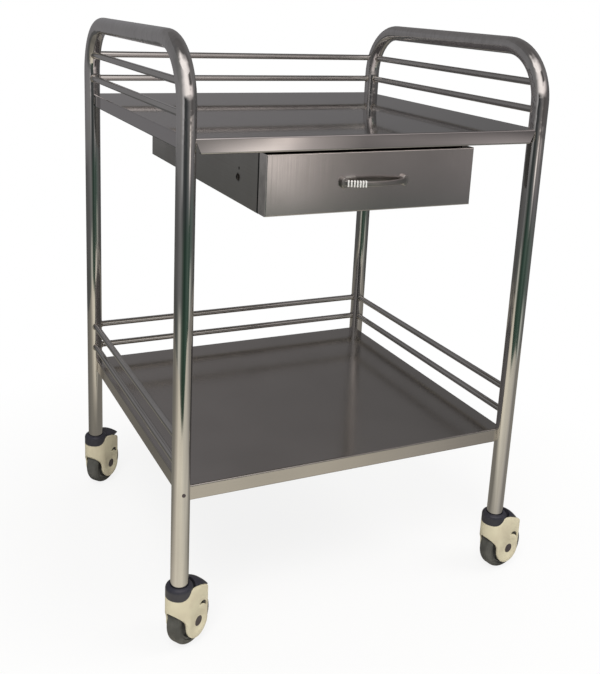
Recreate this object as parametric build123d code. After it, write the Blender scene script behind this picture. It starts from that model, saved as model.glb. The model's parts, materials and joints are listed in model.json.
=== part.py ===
from build123d import *
from math import cos, radians, sin, sqrt
import os

# A stainless steel instrument cart: two bent-tube side frames, two folded sheet shelves with
# guard rails, one drawer hung under the top shelf, and four hooded swivel casters with brakes.
# Millimetres. X points to the right, Y to the back and Z up; the origin is on the floor, at the
# centre of the four legs. Corners are called fl, fr, rl and rr: front or rear, left or right.

# --- Side frames -----------------------------------------------------------------------------
TUBE_R = 12.5
TUBE_WALL = 1.2
HALF_W = 262.5            # leg axes, left and right of centre
HALF_D = 237.5            # leg axes, in front of and behind centre
LEG_BOTTOM = 100.4
LOOP_Z = 822.0            # axis of the level tube on top, which is the push grip
BEND_R = 78.0
VENT_Z = 240.0            # weld vent hole, closed by a plug
VENT_R = 2.0

# --- Guard rails -----------------------------------------------------------------------------
ROD_R = 5.0
TOP_RAILS_Z = (736.0, 774.0)
BOTTOM_RAILS_Z = (271.0, 309.0)

# --- Shelves: folded trays, open side down ---------------------------------------------------
SHEET = 1.2
WELD_GAP = 0.05           # between a sheet or plug and the tube that it is welded into
RETURN_W = 8.0            # inward lip along the bottom of each flange
FOLD_R = 2.2              # outer radius of a fold
TOP_Z = 710.0
TOP_FLANGE = 20.0
TOP_HALF_X = 262.2
TOP_FRONT_Y = -245.7
TOP_BACK_Y = 245.0
BOTTOM_Z = 245.0
BOTTOM_FLANGE = 22.0
BOTTOM_HALF_X = 260.7
BOTTOM_FRONT_Y = -236.6
BOTTOM_BACK_Y = 240.4
STIFFENER_HALF_L = 250.0
STIFFENER_DEPTH = 15.0

# --- Drawer ----------------------------------------------------------------------------------
THIN = 1.0                # sheet of the drawer and its housing
DRAWER_X = -3.0           # the drawer hangs a little left of centre
FRONT_HALF_W = 156.0
FRONT_Z = (607.0, 687.0)
FRONT_Y = -243.0
FRONT_DEPTH = 24.0
FRONT_LIP = 20.0
HOUSING_HALF_W = 155.0
HOUSING_BOTTOM = 605.5
HOUSING_FRONT_Y = -216.5
TRAY_HALF_W = 141.0
TRAY_Z = (609.0, 671.0)
TRAY_BACK_Y = 190.0
RUNNER_Z = (626.0, 656.0)
RUNNER_Y = (-214.0, 186.0)
RUNNER_W = 11.5
RUNNER_SHEET = 1.2
RUNNER_GAP = 0.35         # above and below the slide
RUNNER_SIDE_GAP = 0.65    # between the slide and the runner's web
HOUSING_SCREW_Y = (-148.0, 150.0)
HOUSING_SCREW_R = 4.0

# --- Drawer handle: a bow on two oval feet ---------------------------------------------------
HANDLE_Z = 647.0
HANDLE_FEET_X = (-49.0, 42.0)
FOOT_W, FOOT_H, FOOT_DEPTH = 10.0, 15.0, 5.0
BAR_H, BAR_T = 7.0, 3.5
BOW = 20.0                # how far the bar stands off the drawer front
SCREW_R = 2.0

# --- Casters, in a frame of their own: X trails behind the swivel axis, Z up, floor at zero ---
TRAIL = 20.5
WHEEL_R = 37.5
WHEEL_W = 23.0
WHEEL_EDGE_R = 7.5
RIM_R = 29.0
HUB_R = 9.0
HUB_W = 25.0
WEB_T = 8.0
AXLE_R = 4.0
FIT = 0.05                # radial clearance of the wheel on its axle and of the swivel pin
HOOD_HALF_W = 19.2
HOOD_WALL = 2.9
HOOD_REAR = 43.0
HOOD_REAR_HALF_W = 18.3
HOOD_TAPER_X = 20.0       # the hood narrows from here to its rear
HOOD_CORNER_R = 4.0
WELL_R = 39.8
BOSS_R = 9.0              # inside each cheek, round the axle
BOSS_INNER_Y = 12.8       # a running gap away from the wheel's hub
AXLE_HALF_L = 16.4
CAP_R = 7.5
CAP_Y = (16.5, 18.7)
CAP_RECESS_R = 16.0
CAP_RECESS = 0.6
COLLAR_R = 19.2
COLLAR_CORE_R = 16.8      # below the saddle the collar is only this core, between the cheeks
COLLAR_Z = (84.0, 101.0)
DISH_R = 13.0             # the leg stands in the collar's shallow dish
DISH_Z = 99.9
PIN_R = 5.0
PIN_BOTTOM = 77.0
PLUG_TOP = 136.0
SADDLE_TOP = (5.0, 95.0)  # where the collar's skirt ends against the hood's crest
SEAM = 0.1                # joint line between collar and hood
PEDAL_HALF_W = 16.4
PEDAL_POCKET_HALF_W = 16.8
PEDAL_FLOOR = 80.0
PEDAL_FLOOR_REAR = 75.5
PEDAL_PIVOT = (24.0, 87.0)
PIVOT_R = 1.9
PIVOT_HALF_L = 18.2
PEDAL_NOSE_R = (19.0, 25.0)   # the pedal's nose is hollowed round the collar, wider above
PEDAL_NOSE_Z = (80.0, 104.0)
PEDAL_UP, PEDAL_LEVEL, PEDAL_DOWN = -20.0, 0.0, 13.0   # its rear end up, level or down

# Where each caster stands, its yaw from +X towards +Y, and how its pedal lies.
CASTERS = {
    "fl": (-HALF_W, -HALF_D, 33.0, PEDAL_LEVEL),
    "fr": (HALF_W, -HALF_D, 10.0, PEDAL_DOWN),
    "rl": (-HALF_W, HALF_D, 40.0, PEDAL_UP),
    "rr": (HALF_W, HALF_D, 30.0, PEDAL_UP),
}


def block(x, y, z):
    """A box between two corners: each argument is a (low, high) pair."""
    middle = [(low + high) / 2 for low, high in (x, y, z)]
    return Pos(*middle) * Box(x[1] - x[0], y[1] - y[0], z[1] - z[0])


def upright(x, y, z, radius):
    """A round bar along Z between the two heights in z."""
    return Pos(x, y, (z[0] + z[1]) / 2) * Cylinder(radius, z[1] - z[0])


def along_y(x, y, z, radius):
    """A round bar along Y between the two places in y."""
    return Pos(x, (y[0] + y[1]) / 2, z) * Rot(90, 0, 0) * Cylinder(radius, y[1] - y[0])


# --- Frame -----------------------------------------------------------------------------------
def loop_tube(radius):
    """One side frame as a solid bar of the given radius, in the plane X = 0."""
    path = Plane.YZ * FilletPolyline(
        (-HALF_D, LEG_BOTTOM),
        (-HALF_D, LOOP_Z),
        (HALF_D, LOOP_Z),
        (HALF_D, LEG_BOTTOM),
        radius=BEND_R,
    )
    return sweep(Pos(0, -HALF_D, LEG_BOTTOM) * Circle(radius), path)


def side_frame():
    """The bent tube, with the vent hole low on the front leg's front face."""
    tube = loop_tube(TUBE_R) - loop_tube(TUBE_R - TUBE_WALL)
    return tube - along_y(0, (-HALF_D - TUBE_R - 1, -HALF_D - TUBE_R + 3), VENT_Z, VENT_R)


def vent_plug():
    """The plug in a frame's vent hole: a shank and a low domed head."""
    face = -HALF_D - TUBE_R
    shank = along_y(0, (face - 0.1, face + 2.2), VENT_Z, VENT_R - WELD_GAP)
    head = along_y(0, (face - 0.9, face), VENT_Z, 2.6)
    return shank + fillet(head.edges().sort_by(Axis.Y)[0], 0.6)


def leg_axis_y(z):
    """How far the tube's axis is from the middle at height z, where it may already bend in."""
    rise = max(0.0, z - (LOOP_Z - BEND_R))
    return HALF_D - BEND_R + sqrt(BEND_R**2 - rise**2)


def side_rail(x, z, bars):
    """A rod between the two legs of one side frame, its ends coped to the tube."""
    reach = leg_axis_y(z)
    return along_y(x, (-reach, reach), z, ROD_R) - bars


def rear_rail(z, bars):
    """A rod between the two rear legs, its ends coped to the tubes."""
    rod = Pos(0, HALF_D, z) * Rot(0, 90, 0) * Cylinder(ROD_R, 2 * HALF_W)
    return rod - bars


def shelf(half_x, front, back, top, flange):
    """A sheet with its four edges folded down and their lips folded in, notched round the legs."""
    bottom = top - flange
    body = block((-half_x, half_x), (front, back), (bottom, top))
    body = fillet(body.edges().filter_by(Axis.X) + body.edges().filter_by(Axis.Y), FOLD_R)
    inside = block(
        (-half_x + SHEET, half_x - SHEET),
        (front + SHEET, back - SHEET),
        (bottom + SHEET, top - SHEET),
    )
    lip = SHEET + RETURN_W
    mouth = block(
        (-half_x + lip, half_x - lip),
        (front + lip, back - lip),
        (bottom - 1, bottom + 2 * SHEET),
    )
    body = body - inside - mouth
    for x in (-HALF_W, HALF_W):
        for y in (-HALF_D, HALF_D):
            body -= upright(x, y, (bottom - 1, top + 1), TUBE_R + WELD_GAP)
            body -= loose_corner(x, y, top, bottom)
    return body


def loose_corner(x, y, top, bottom):
    """What a leg's notch leaves outside the leg, to be cut away."""
    side = 1 if x > 0 else -1
    end = 1 if y > 0 else -1
    reach = 2 * TUBE_R
    return block(
        tuple(sorted((x, x + side * reach))),
        tuple(sorted((y, y + end * reach))),
        (bottom - 1, top + 1),
    )


def flange_relief(edge_x, plane_y, top, bottom, slope):
    """Two wedges off the ends of a front flange, so that it narrows towards its lower edge."""
    wedge = Plane.XZ * Polygon(
        (edge_x + 1, top - SHEET),
        (edge_x - slope, bottom - 1),
        (edge_x + 1, bottom - 1),
        align=None,
    )
    one = Pos(0, plane_y + RETURN_W + 2, 0) * extrude(wedge, RETURN_W + 4)
    return one + mirror(one, Plane.YZ)


def top_shelf():
    """The top shelf; its rear lip is cut away where the drawer housing stands."""
    bottom = TOP_Z - TOP_FLANGE
    body = shelf(TOP_HALF_X, TOP_FRONT_Y, TOP_BACK_Y, TOP_Z, TOP_FLANGE)
    body -= flange_relief(253.0, TOP_FRONT_Y, TOP_Z, bottom, 8.0)
    return body - block(
        (DRAWER_X - HOUSING_HALF_W - 1, DRAWER_X + HOUSING_HALF_W + 1),
        (TOP_BACK_Y - SHEET - RETURN_W - 1, TOP_BACK_Y - SHEET),
        (bottom - 1, bottom + 2 * SHEET),
    )


def bottom_shelf():
    """The bottom shelf, which lies between the legs."""
    return shelf(BOTTOM_HALF_X, BOTTOM_FRONT_Y, BOTTOM_BACK_Y, BOTTOM_Z, BOTTOM_FLANGE)


def stiffener():
    """A hat section spot-welded across the underside of the bottom shelf."""
    top = BOTTOM_Z - SHEET
    low = top - STIFFENER_DEPTH
    outer = Polyline(
        (-36, top),
        (-36, top - SHEET),
        (-20, top - SHEET),
        (-14, low),
        (14, low),
        (20, top - SHEET),
        (36, top - SHEET),
        (36, top),
        (18.8, top),
        (12.8, low + SHEET),
        (-12.8, low + SHEET),
        (-18.8, top),
        close=True,
    )
    return Pos(-STIFFENER_HALF_L, 0, 0) * extrude(Plane.YZ * make_face(outer), 2 * STIFFENER_HALF_L)


# --- Drawer housing and runners, fixed under the top shelf -----------------------------------
def mirrored_about_drawer(part):
    """The same piece on the drawer's other side."""
    return mirror(part, Plane(origin=(DRAWER_X, 0, 0), z_dir=(1, 0, 0)))


def drawer_housing():
    """A sheet box, open at the front and the top, with flanges out against the shelf."""
    left = DRAWER_X - HOUSING_HALF_W
    right = DRAWER_X + HOUSING_HALF_W
    top = TOP_Z - SHEET
    back = TOP_BACK_Y - SHEET
    body = block((left, right), (HOUSING_FRONT_Y, back), (HOUSING_BOTTOM, top))
    low_edges = body.edges().filter_by(Axis.Y).group_by(Axis.Z)[0]
    body = fillet(low_edges, 1.5)
    body -= block(
        (left + THIN, right - THIN),
        (HOUSING_FRONT_Y - 1, back - THIN),
        (HOUSING_BOTTOM + THIN, top + 1),
    )
    flange = block((left - 12, left + THIN), (HOUSING_FRONT_Y, back - 10), (top - THIN, top))
    notch = Pos(left, HOUSING_FRONT_Y, 628) * Rot(0, 90, 0) * Cylinder(2.5, 4)
    body = body + flange + mirrored_about_drawer(flange) - notch
    for y in HOUSING_SCREW_Y:
        hole = Pos(left, y, sum(RUNNER_Z) / 2) * Rot(0, 90, 0) * Cylinder(SCREW_R + FIT, 6)
        body = body - hole - mirrored_about_drawer(hole)
    return body


def channel(x, width, y, z, sheet, opens):
    """A C section along Y from x to x + width, open towards +X or -X."""
    outer = block((x, x + width), y, z)
    gap = (x + sheet, x + width + 1) if opens > 0 else (x - 1, x + width - sheet)
    return outer - block(gap, (y[0] - 1, y[1] + 1), (z[0] + sheet, z[1] - sheet))


def runner():
    """The left fixed channel on the housing wall, with holes for its screws."""
    wall = DRAWER_X - HOUSING_HALF_W + THIN
    body = channel(wall, RUNNER_W, RUNNER_Y, RUNNER_Z, RUNNER_SHEET, 1)
    for y in HOUSING_SCREW_Y:
        body -= Pos(wall, y, sum(RUNNER_Z) / 2) * Rot(0, 90, 0) * Cylinder(SCREW_R + FIT, 6)
    return body


def slide():
    """The left moving channel on the drawer's wall, nested in the fixed one."""
    wall = DRAWER_X - TRAY_HALF_W
    outer_x = DRAWER_X - HOUSING_HALF_W + THIN + RUNNER_SHEET + RUNNER_SIDE_GAP
    room = RUNNER_SHEET + RUNNER_GAP
    return channel(
        outer_x,
        wall - outer_x,
        (RUNNER_Y[0] - 1, RUNNER_Y[1] - 1),
        (RUNNER_Z[0] + room, RUNNER_Z[1] - room),
        RUNNER_SHEET,
        -1,
    )


def housing_screw(y):
    """A low pan head outside the housing wall and a shank through wall and runner."""
    wall = DRAWER_X - HOUSING_HALF_W
    middle = sum(RUNNER_Z) / 2
    head = Pos(wall - 1.0, y, middle) * Rot(0, 90, 0) * Cylinder(HOUSING_SCREW_R, 2.0)
    head = fillet(head.edges().sort_by(Axis.X)[0], 1.2)
    shank = Pos(wall + 1.05, y, middle) * Rot(0, 90, 0) * Cylinder(SCREW_R, 2.3)
    return head + shank


def housing_screws():
    """The screws that hold both runners."""
    left = [housing_screw(y) for y in HOUSING_SCREW_Y]
    return Compound(left + [mirrored_about_drawer(screw) for screw in left])


# --- Drawer ----------------------------------------------------------------------------------
def drawer_tray():
    """The drawer's open box."""
    x = (DRAWER_X - TRAY_HALF_W, DRAWER_X + TRAY_HALF_W)
    front = FRONT_Y + FRONT_DEPTH
    body = block(x, (front, TRAY_BACK_Y), TRAY_Z)
    body = fillet(body.edges().group_by(Axis.Z)[0], 1.8)
    return body - block(
        (x[0] + THIN, x[1] - THIN),
        (front + THIN, TRAY_BACK_Y - THIN),
        (TRAY_Z[0] + THIN, TRAY_Z[1] + 1),
    )


def drawer_front():
    """A shallow pan whose folded sides end in lips against the tray."""
    x = (DRAWER_X - FRONT_HALF_W, DRAWER_X + FRONT_HALF_W)
    back = FRONT_Y + FRONT_DEPTH
    body = block(x, (FRONT_Y, back), FRONT_Z)
    body = fillet(body.edges().group_by(Axis.Y)[0], 1.6)
    body -= block(
        (x[0] + THIN, x[1] - THIN),
        (FRONT_Y + THIN, back - THIN),
        (FRONT_Z[0] + THIN, FRONT_Z[1] - THIN),
    )
    body -= block(
        (x[0] + FRONT_LIP, x[1] - FRONT_LIP),
        (back - 2 * THIN, back + 1),
        (FRONT_Z[0] + FRONT_LIP, FRONT_Z[1] - FRONT_LIP),
    )
    for foot in HANDLE_FEET_X:
        body -= along_y(foot, (FRONT_Y - 1, FRONT_Y + 3), HANDLE_Z, SCREW_R + FIT)
    return body


def drawer_handle():
    """A flat bar bowed out from one oval foot to the other."""
    left, right = HANDLE_FEET_X
    middle = (left + right) / 2
    inner = FRONT_Y - FOOT_DEPTH + 0.5
    bar_path = ThreePointArc(
        (left, inner, HANDLE_Z),
        (middle, FRONT_Y - BOW + BAR_T / 2, HANDLE_Z),
        (right, inner, HANDLE_Z),
    )
    start = Plane(origin=bar_path @ 0, z_dir=bar_path % 0, x_dir=(0, 0, 1))
    body = sweep(start * RectangleRounded(BAR_H, BAR_T, 1.2), bar_path)
    for foot in HANDLE_FEET_X:
        oval = Pos(foot, FRONT_Y, HANDLE_Z) * Rot(90, 0, 0) * Ellipse(FOOT_W / 2, FOOT_H / 2)
        boss = extrude(oval, FOOT_DEPTH + 1)
        body += fillet(boss.edges().sort_by(Axis.Y)[0], 1.5)
    for foot in HANDLE_FEET_X:
        body -= along_y(foot, (FRONT_Y - 4, FRONT_Y + 1), HANDLE_Z, SCREW_R + FIT)
    return body


def handle_screws():
    """The two pan-head screws from inside the drawer front into the handle's feet."""
    screws = []
    for foot in HANDLE_FEET_X:
        shank = along_y(foot, (FRONT_Y - 3.5, FRONT_Y + THIN + 0.1), HANDLE_Z, SCREW_R)
        head = along_y(foot, (FRONT_Y + THIN, FRONT_Y + THIN + 2.4), HANDLE_Z, 2 * SCREW_R)
        screws.append(shank + fillet(head.edges().sort_by(Axis.Y)[-1], 1.2))
    return Compound(screws)


# --- Caster ----------------------------------------------------------------------------------
def about_axle(radius, width, z=WHEEL_R):
    """A round bar across the caster at the wheel's centre."""
    return Pos(TRAIL, 0, z) * Rot(90, 0, 0) * Cylinder(radius, width)


def saddle():
    """The hood's upper edge in side view: level in front, then up in a sweep beside the collar."""
    return [
        Line((-HOOD_HALF_W - 1, COLLAR_Z[0]), (-13, COLLAR_Z[0])),
        ThreePointArc((-13, COLLAR_Z[0]), (-4.4, 87.2), (2.5, 94.2)),
        ThreePointArc((2.5, 94.2), (3.6, 94.9), SADDLE_TOP),
    ]


def hood_side():
    """The hood's side view: a high round back, and a cheek that sweeps down to a round lobe."""
    front = (-HOOD_HALF_W - 1, 63.5)
    waist = (-4.6, 38.6)
    foot = (20, 14)
    heel = (41.6, 35.4)
    back = (42.9, 75.5)
    return make_face(
        saddle()
        + [
            ThreePointArc(SADDLE_TOP, (20, 92.6), (33, 87.6)),
            ThreePointArc((33, 87.6), (40.2, 83.2), back),
            Spline(back, (41.6, 52), heel, tangents=[(-0.03, -1), (0.03, -1)]),
            ThreePointArc(heel, (35.1, 20.3), foot),
            ThreePointArc(foot, (2.6, 21.2), waist),
            Spline(waist, (-9.6, 52.4), front, tangents=[(0, 1), (-0.7, 0.72)]),
            Line(front, (-HOOD_HALF_W - 1, COLLAR_Z[0])),
        ]
    )


def hood_plan():
    """The hood from above: round in front about the swivel axis, narrower at the back."""
    rear = HOOD_REAR + 1
    outline = [
        ThreePointArc((0, HOOD_HALF_W), (-HOOD_HALF_W, 0), (0, -HOOD_HALF_W)),
        Polyline(
            (0, -HOOD_HALF_W),
            (HOOD_TAPER_X, -HOOD_HALF_W),
            (rear, -HOOD_REAR_HALF_W),
            (rear, HOOD_REAR_HALF_W),
            (HOOD_TAPER_X, HOOD_HALF_W),
            (0, HOOD_HALF_W),
        ),
    ]
    plan = make_face(outline)
    return fillet(plan.vertices().group_by(Axis.X)[-1], HOOD_CORNER_R)


def leaf_slot():
    """The leaf-shaped window in each cheek, its lower edge concentric with the lobe."""
    tip = (20.5, 60.5)
    corner = (33.5, 63.5)
    low = (38.4, 52.5)
    leaf = make_face(
        [
            ThreePointArc(tip, (28, 65), corner),
            ThreePointArc(corner, (37.4, 59), low),
            ThreePointArc(low, (30.8, 58.9), tip),
        ]
    )
    return extrude(Plane.XZ * leaf, 30, both=True)


def wheel_well():
    """The room for the wheel inside the hood's walls, open below and behind."""
    inner = HOOD_HALF_W - HOOD_WALL
    rear = HOOD_REAR + 2
    plan = make_face(
        [
            ThreePointArc((0, inner), (-inner, 0), (0, -inner)),
            Polyline((0, -inner), (rear, -inner), (rear, inner), (0, inner)),
        ]
    )
    return about_axle(WELL_R, 2 * HOOD_HALF_W) & extrude(plan, COLLAR_Z[0])


def pedal_pocket():
    """The space round the pedal, its floor falling towards the back."""
    rear, top = HOOD_REAR + 3, COLLAR_Z[1]
    side = Polyline(
        (0, PEDAL_FLOOR),
        (HOOD_TAPER_X, PEDAL_FLOOR),
        (rear, PEDAL_FLOOR_REAR),
        (rear, top),
        (0, top),
        close=True,
    )
    pocket = extrude(Plane.XZ * make_face(side), PEDAL_POCKET_HALF_W, both=True)
    return pocket - upright(0, 0, (PEDAL_FLOOR - 1, COLLAR_Z[0]), COLLAR_CORE_R)


def caster_housing():
    """The moulded hood: two cheeks, a wheel well between them, and a pocket for the pedal."""
    body = extrude(Plane.XZ * hood_side(), 2 * HOOD_HALF_W, both=True)
    body &= extrude(hood_plan(), COLLAR_Z[1])
    body -= wheel_well()
    bosses = about_axle(BOSS_R, 2 * HOOD_HALF_W - HOOD_WALL)
    body += bosses - about_axle(BOSS_R + 1, 2 * BOSS_INNER_Y)
    body -= upright(0, 0, COLLAR_Z, COLLAR_CORE_R + SEAM)
    body -= pedal_pocket()
    body -= leaf_slot()
    body -= upright(0, 0, (PIN_BOTTOM - 0.3, COLLAR_Z[1]), PIN_R + FIT)
    body -= about_axle(AXLE_R, 50)
    for side in (-1, 1):
        recess = HOOD_HALF_W - CAP_RECESS
        body -= Pos(0, side * (recess + 2), 0) * about_axle(CAP_RECESS_R, 4)
        body -= Pos(0, side * (AXLE_HALF_L + 2), 0) * about_axle(CAP_R + FIT, 4)
    pivot_x, pivot_z = PEDAL_PIVOT
    hole_end = PIVOT_HALF_L + 0.3
    return body - along_y(pivot_x, (-hole_end, hole_end), pivot_z, PIVOT_R + FIT)


def caster_collar():
    """The dark collar that turns with the hood under the leg, its skirt cut to the saddle."""
    low, high = COLLAR_Z
    bore = PIN_R + FIT
    shoulder = (COLLAR_R, high - 7)
    rim = (DISH_R + 1.2, high)
    profile = make_face(
        [
            Polyline((bore, low), (COLLAR_R, low), shoulder),
            ThreePointArc(shoulder, (COLLAR_R - 1, high - 2.8), rim),
            Polyline(rim, (DISH_R, high), (DISH_R, DISH_Z), (bore, DISH_Z), (bore, low)),
        ]
    )
    skirt = make_face(
        saddle()
        + [
            Polyline(
                SADDLE_TOP,
                (COLLAR_R + 2, SADDLE_TOP[1]),
                (COLLAR_R + 2, low - 2),
                (-HOOD_HALF_W - 1, low - 2),
                (-HOOD_HALF_W - 1, low),
            )
        ]
    )
    under = Pos(0, 0, SEAM) * extrude(Plane.XZ * skirt, 2 * COLLAR_R, both=True)
    return revolve(Plane.XZ * profile, Axis.Z) - (under - upright(0, 0, COLLAR_Z, COLLAR_CORE_R))


def caster_stem():
    """The plug in the leg and the king pin that the caster swivels on."""
    plug = upright(0, 0, (DISH_Z + 0.35, PLUG_TOP), TUBE_R - TUBE_WALL - WELD_GAP)
    plug = chamfer(plug.edges().group_by(Axis.Z)[-1], 1.5)
    pin = upright(0, 0, (PIN_BOTTOM, DISH_Z + 1), PIN_R)
    return plug + chamfer(pin.edges().group_by(Axis.Z)[0], 0.8)


def caster_axle():
    """The bolt through both cheeks and the wheel."""
    return about_axle(AXLE_R, 2 * AXLE_HALF_L)


def axle_caps():
    """The round caps over the bolt's two ends."""
    inner, outer = CAP_Y
    caps = []
    for side in (-1, 1):
        cap = Pos(0, side * (inner + outer) / 2, 0) * about_axle(CAP_R, outer - inner)
        caps.append(chamfer(cap.edges().sort_by(Axis.Y)[-1 if side > 0 else 0], 0.4))
    return Compound(caps)


def wheel_hub():
    """A plastic wheel body: rim, web and boss, bored for the axle."""
    rim_half = WHEEL_W / 2 - 1.5
    profile = Polyline(
        (AXLE_R + FIT, HUB_W / 2),
        (HUB_R, HUB_W / 2),
        (HUB_R + 1, WEB_T / 2),
        (RIM_R - 4, WEB_T / 2),
        (RIM_R - 3, rim_half),
        (RIM_R, rim_half),
        (RIM_R, -rim_half),
        (RIM_R - 3, -rim_half),
        (RIM_R - 4, -WEB_T / 2),
        (HUB_R + 1, -WEB_T / 2),
        (HUB_R, -HUB_W / 2),
        (AXLE_R + FIT, -HUB_W / 2),
        close=True,
    )
    return on_axle(revolve(make_face(profile), Axis.Y))


def tyre():
    """The tread band, with well rounded shoulders."""
    profile = Pos((RIM_R + WHEEL_R) / 2, 0) * Rectangle(WHEEL_R - RIM_R, WHEEL_W)
    profile = fillet(profile.vertices().group_by(Axis.X)[-1], WHEEL_EDGE_R)
    profile = chamfer(profile.vertices().group_by(Axis.X)[0], 0.5)
    return on_axle(revolve(profile, Axis.Y))


def on_axle(part):
    """A piece turned about Y at the origin, moved to the wheel's centre."""
    return Pos(TRAIL, 0, WHEEL_R) * part


def pedal_section(x, bottom, edge, crest):
    """The pedal cut across at x: flat below, arched above."""
    half = PEDAL_HALF_W
    face = make_face(
        [
            Polyline((-half, edge), (-half, bottom), (half, bottom), (half, edge)),
            ThreePointArc((half, edge), (0, crest), (-half, edge)),
        ]
    )
    return Plane.YZ.offset(x) * face


def brake_pedal(tilt):
    """The rocking pedal behind the collar, with a stub pin at each side."""
    body = loft(
        [
            pedal_section(10, 88, 93.5, 98.6),
            pedal_section(22, 85.5, 92.8, 98.2),
            pedal_section(32, 84, 89.6, 95),
            pedal_section(42.6, 82.6, 84, 87.5),
        ]
    )
    low, high = PEDAL_NOSE_Z
    body -= Pos(0, 0, (low + high) / 2) * Cone(*PEDAL_NOSE_R, high - low)
    pivot_x, pivot_z = PEDAL_PIVOT
    body += along_y(pivot_x, (-PIVOT_HALF_L, PIVOT_HALF_L), pivot_z, PIVOT_R)
    return body.rotate(Axis((pivot_x, 0, pivot_z), (0, 1, 0)), tilt)


# --- All nodes -------------------------------------------------------------------------------
def frame_nodes():
    """The pieces of the welded frame."""
    left = Pos(-HALF_W, 0, 0)
    right = Pos(HALF_W, 0, 0) * Rot(0, 0, 180)
    bars = left * loop_tube(TUBE_R) + right * loop_tube(TUBE_R)
    nodes = {
        "left_side_frame": left * side_frame(),
        "right_side_frame": right * side_frame(),
        "vent_plugs": Compound([left * vent_plug(), right * vent_plug()]),
        "top_shelf": top_shelf(),
        "bottom_shelf": bottom_shelf(),
        "bottom_shelf_stiffener": stiffener(),
        "drawer_housing": drawer_housing(),
        "left_runner": runner(),
        "right_runner": mirrored_about_drawer(runner()),
        "housing_screws": housing_screws(),
    }
    for level, heights in (("top", TOP_RAILS_Z), ("bottom", BOTTOM_RAILS_Z)):
        for place, z in zip(("lower", "upper"), heights):
            nodes[f"{level}_left_{place}_rail"] = side_rail(-HALF_W, z, bars)
            nodes[f"{level}_right_{place}_rail"] = side_rail(HALF_W, z, bars)
            nodes[f"{level}_rear_{place}_rail"] = rear_rail(z, bars)
    return nodes


def drawer_nodes():
    """The pieces that slide out together."""
    return {
        "drawer_tray": drawer_tray(),
        "drawer_front": drawer_front(),
        "drawer_handle": drawer_handle(),
        "handle_screws": handle_screws(),
        "left_slide": slide(),
        "right_slide": mirrored_about_drawer(slide()),
    }


def caster_nodes():
    """Four casters of the same pieces, each turned to its own yaw."""
    pieces = {
        "caster_housing": caster_housing(),
        "caster_collar": caster_collar(),
        "caster_stem": caster_stem(),
        "caster_axle": caster_axle(),
        "axle_caps": axle_caps(),
        "wheel_hub": wheel_hub(),
        "tyre": tyre(),
    }
    nodes = {}
    for corner, (x, y, yaw, tilt) in CASTERS.items():
        place = Pos(x, y, 0) * Rot(0, 0, yaw)
        for name, piece in pieces.items():
            nodes[f"{name}_{corner}"] = place * piece
        nodes[f"brake_pedal_{corner}"] = place * brake_pedal(tilt)
    return nodes


os.makedirs("parts", exist_ok=True)
for node, shape in {**frame_nodes(), **drawer_nodes(), **caster_nodes()}.items():
    export_step(shape, f"parts/{node}.step")
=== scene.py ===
"""Looks of a stainless steel instrument cart: finishes, welds, screws, handle, hoods and studio."""

import json
import logging
from collections.abc import Mapping, Sequence
from dataclasses import dataclass
from enum import Enum
from math import asin, cos, pi, radians, sin, sqrt

import bpy
from mathutils import Matrix, Vector

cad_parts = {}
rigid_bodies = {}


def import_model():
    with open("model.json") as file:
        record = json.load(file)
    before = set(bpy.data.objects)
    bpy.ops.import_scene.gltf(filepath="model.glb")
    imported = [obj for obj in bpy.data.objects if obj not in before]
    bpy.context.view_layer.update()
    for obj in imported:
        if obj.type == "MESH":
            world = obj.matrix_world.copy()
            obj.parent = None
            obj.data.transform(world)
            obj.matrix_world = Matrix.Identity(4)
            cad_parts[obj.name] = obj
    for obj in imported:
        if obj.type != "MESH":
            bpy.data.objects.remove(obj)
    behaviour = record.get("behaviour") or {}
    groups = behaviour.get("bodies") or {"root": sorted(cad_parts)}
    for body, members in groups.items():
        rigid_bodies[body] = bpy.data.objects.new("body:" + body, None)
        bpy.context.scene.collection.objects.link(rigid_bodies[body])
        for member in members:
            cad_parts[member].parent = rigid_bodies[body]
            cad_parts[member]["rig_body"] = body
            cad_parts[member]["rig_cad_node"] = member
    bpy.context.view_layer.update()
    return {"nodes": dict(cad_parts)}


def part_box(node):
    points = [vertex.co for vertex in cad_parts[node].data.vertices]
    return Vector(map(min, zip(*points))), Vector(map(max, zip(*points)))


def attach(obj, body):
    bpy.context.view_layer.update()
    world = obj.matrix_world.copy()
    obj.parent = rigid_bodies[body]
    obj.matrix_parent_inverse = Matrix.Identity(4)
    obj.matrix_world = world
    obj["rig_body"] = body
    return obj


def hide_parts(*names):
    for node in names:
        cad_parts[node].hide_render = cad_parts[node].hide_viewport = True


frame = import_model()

LOG = logging.getLogger("instrument_cart")
CORNERS = ("fl", "fr", "rl", "rr")
WHITE = (1.0, 1.0, 1.0, 1.0)

Colour = tuple[float, float, float]
Scale = float | tuple[float, float, float]
Item = bpy.types.Object
Node = bpy.types.Node
Socket = bpy.types.NodeSocket


class Grain(Enum):
    """The way the polishing lines run on steel, as features a metre along X, Y and Z."""

    X = (4.0, 700.0, 700.0)
    Y = (700.0, 4.0, 700.0)
    Z = (700.0, 700.0, 4.0)
    NONE = (260.0, 260.0, 260.0)


class Heads(Enum):
    """The way that a node's screw heads face along the screws' axis."""

    OUTWARD = "away from the middle of the cart"
    REARWARD = "towards the cart's rear"


@dataclass(frozen=True)
class Stain:
    """A round stain: its centre and radius in metres, and how ragged its rim is."""

    centre: Vector
    radius: float
    rag_share: float = 0.25
    rag_scale: float = 420.0


def darker(colour: Colour, share: float) -> Colour:
    """A colour that has lost a share of its light."""
    return tuple(part * (1.0 - share) for part in colour)


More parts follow.
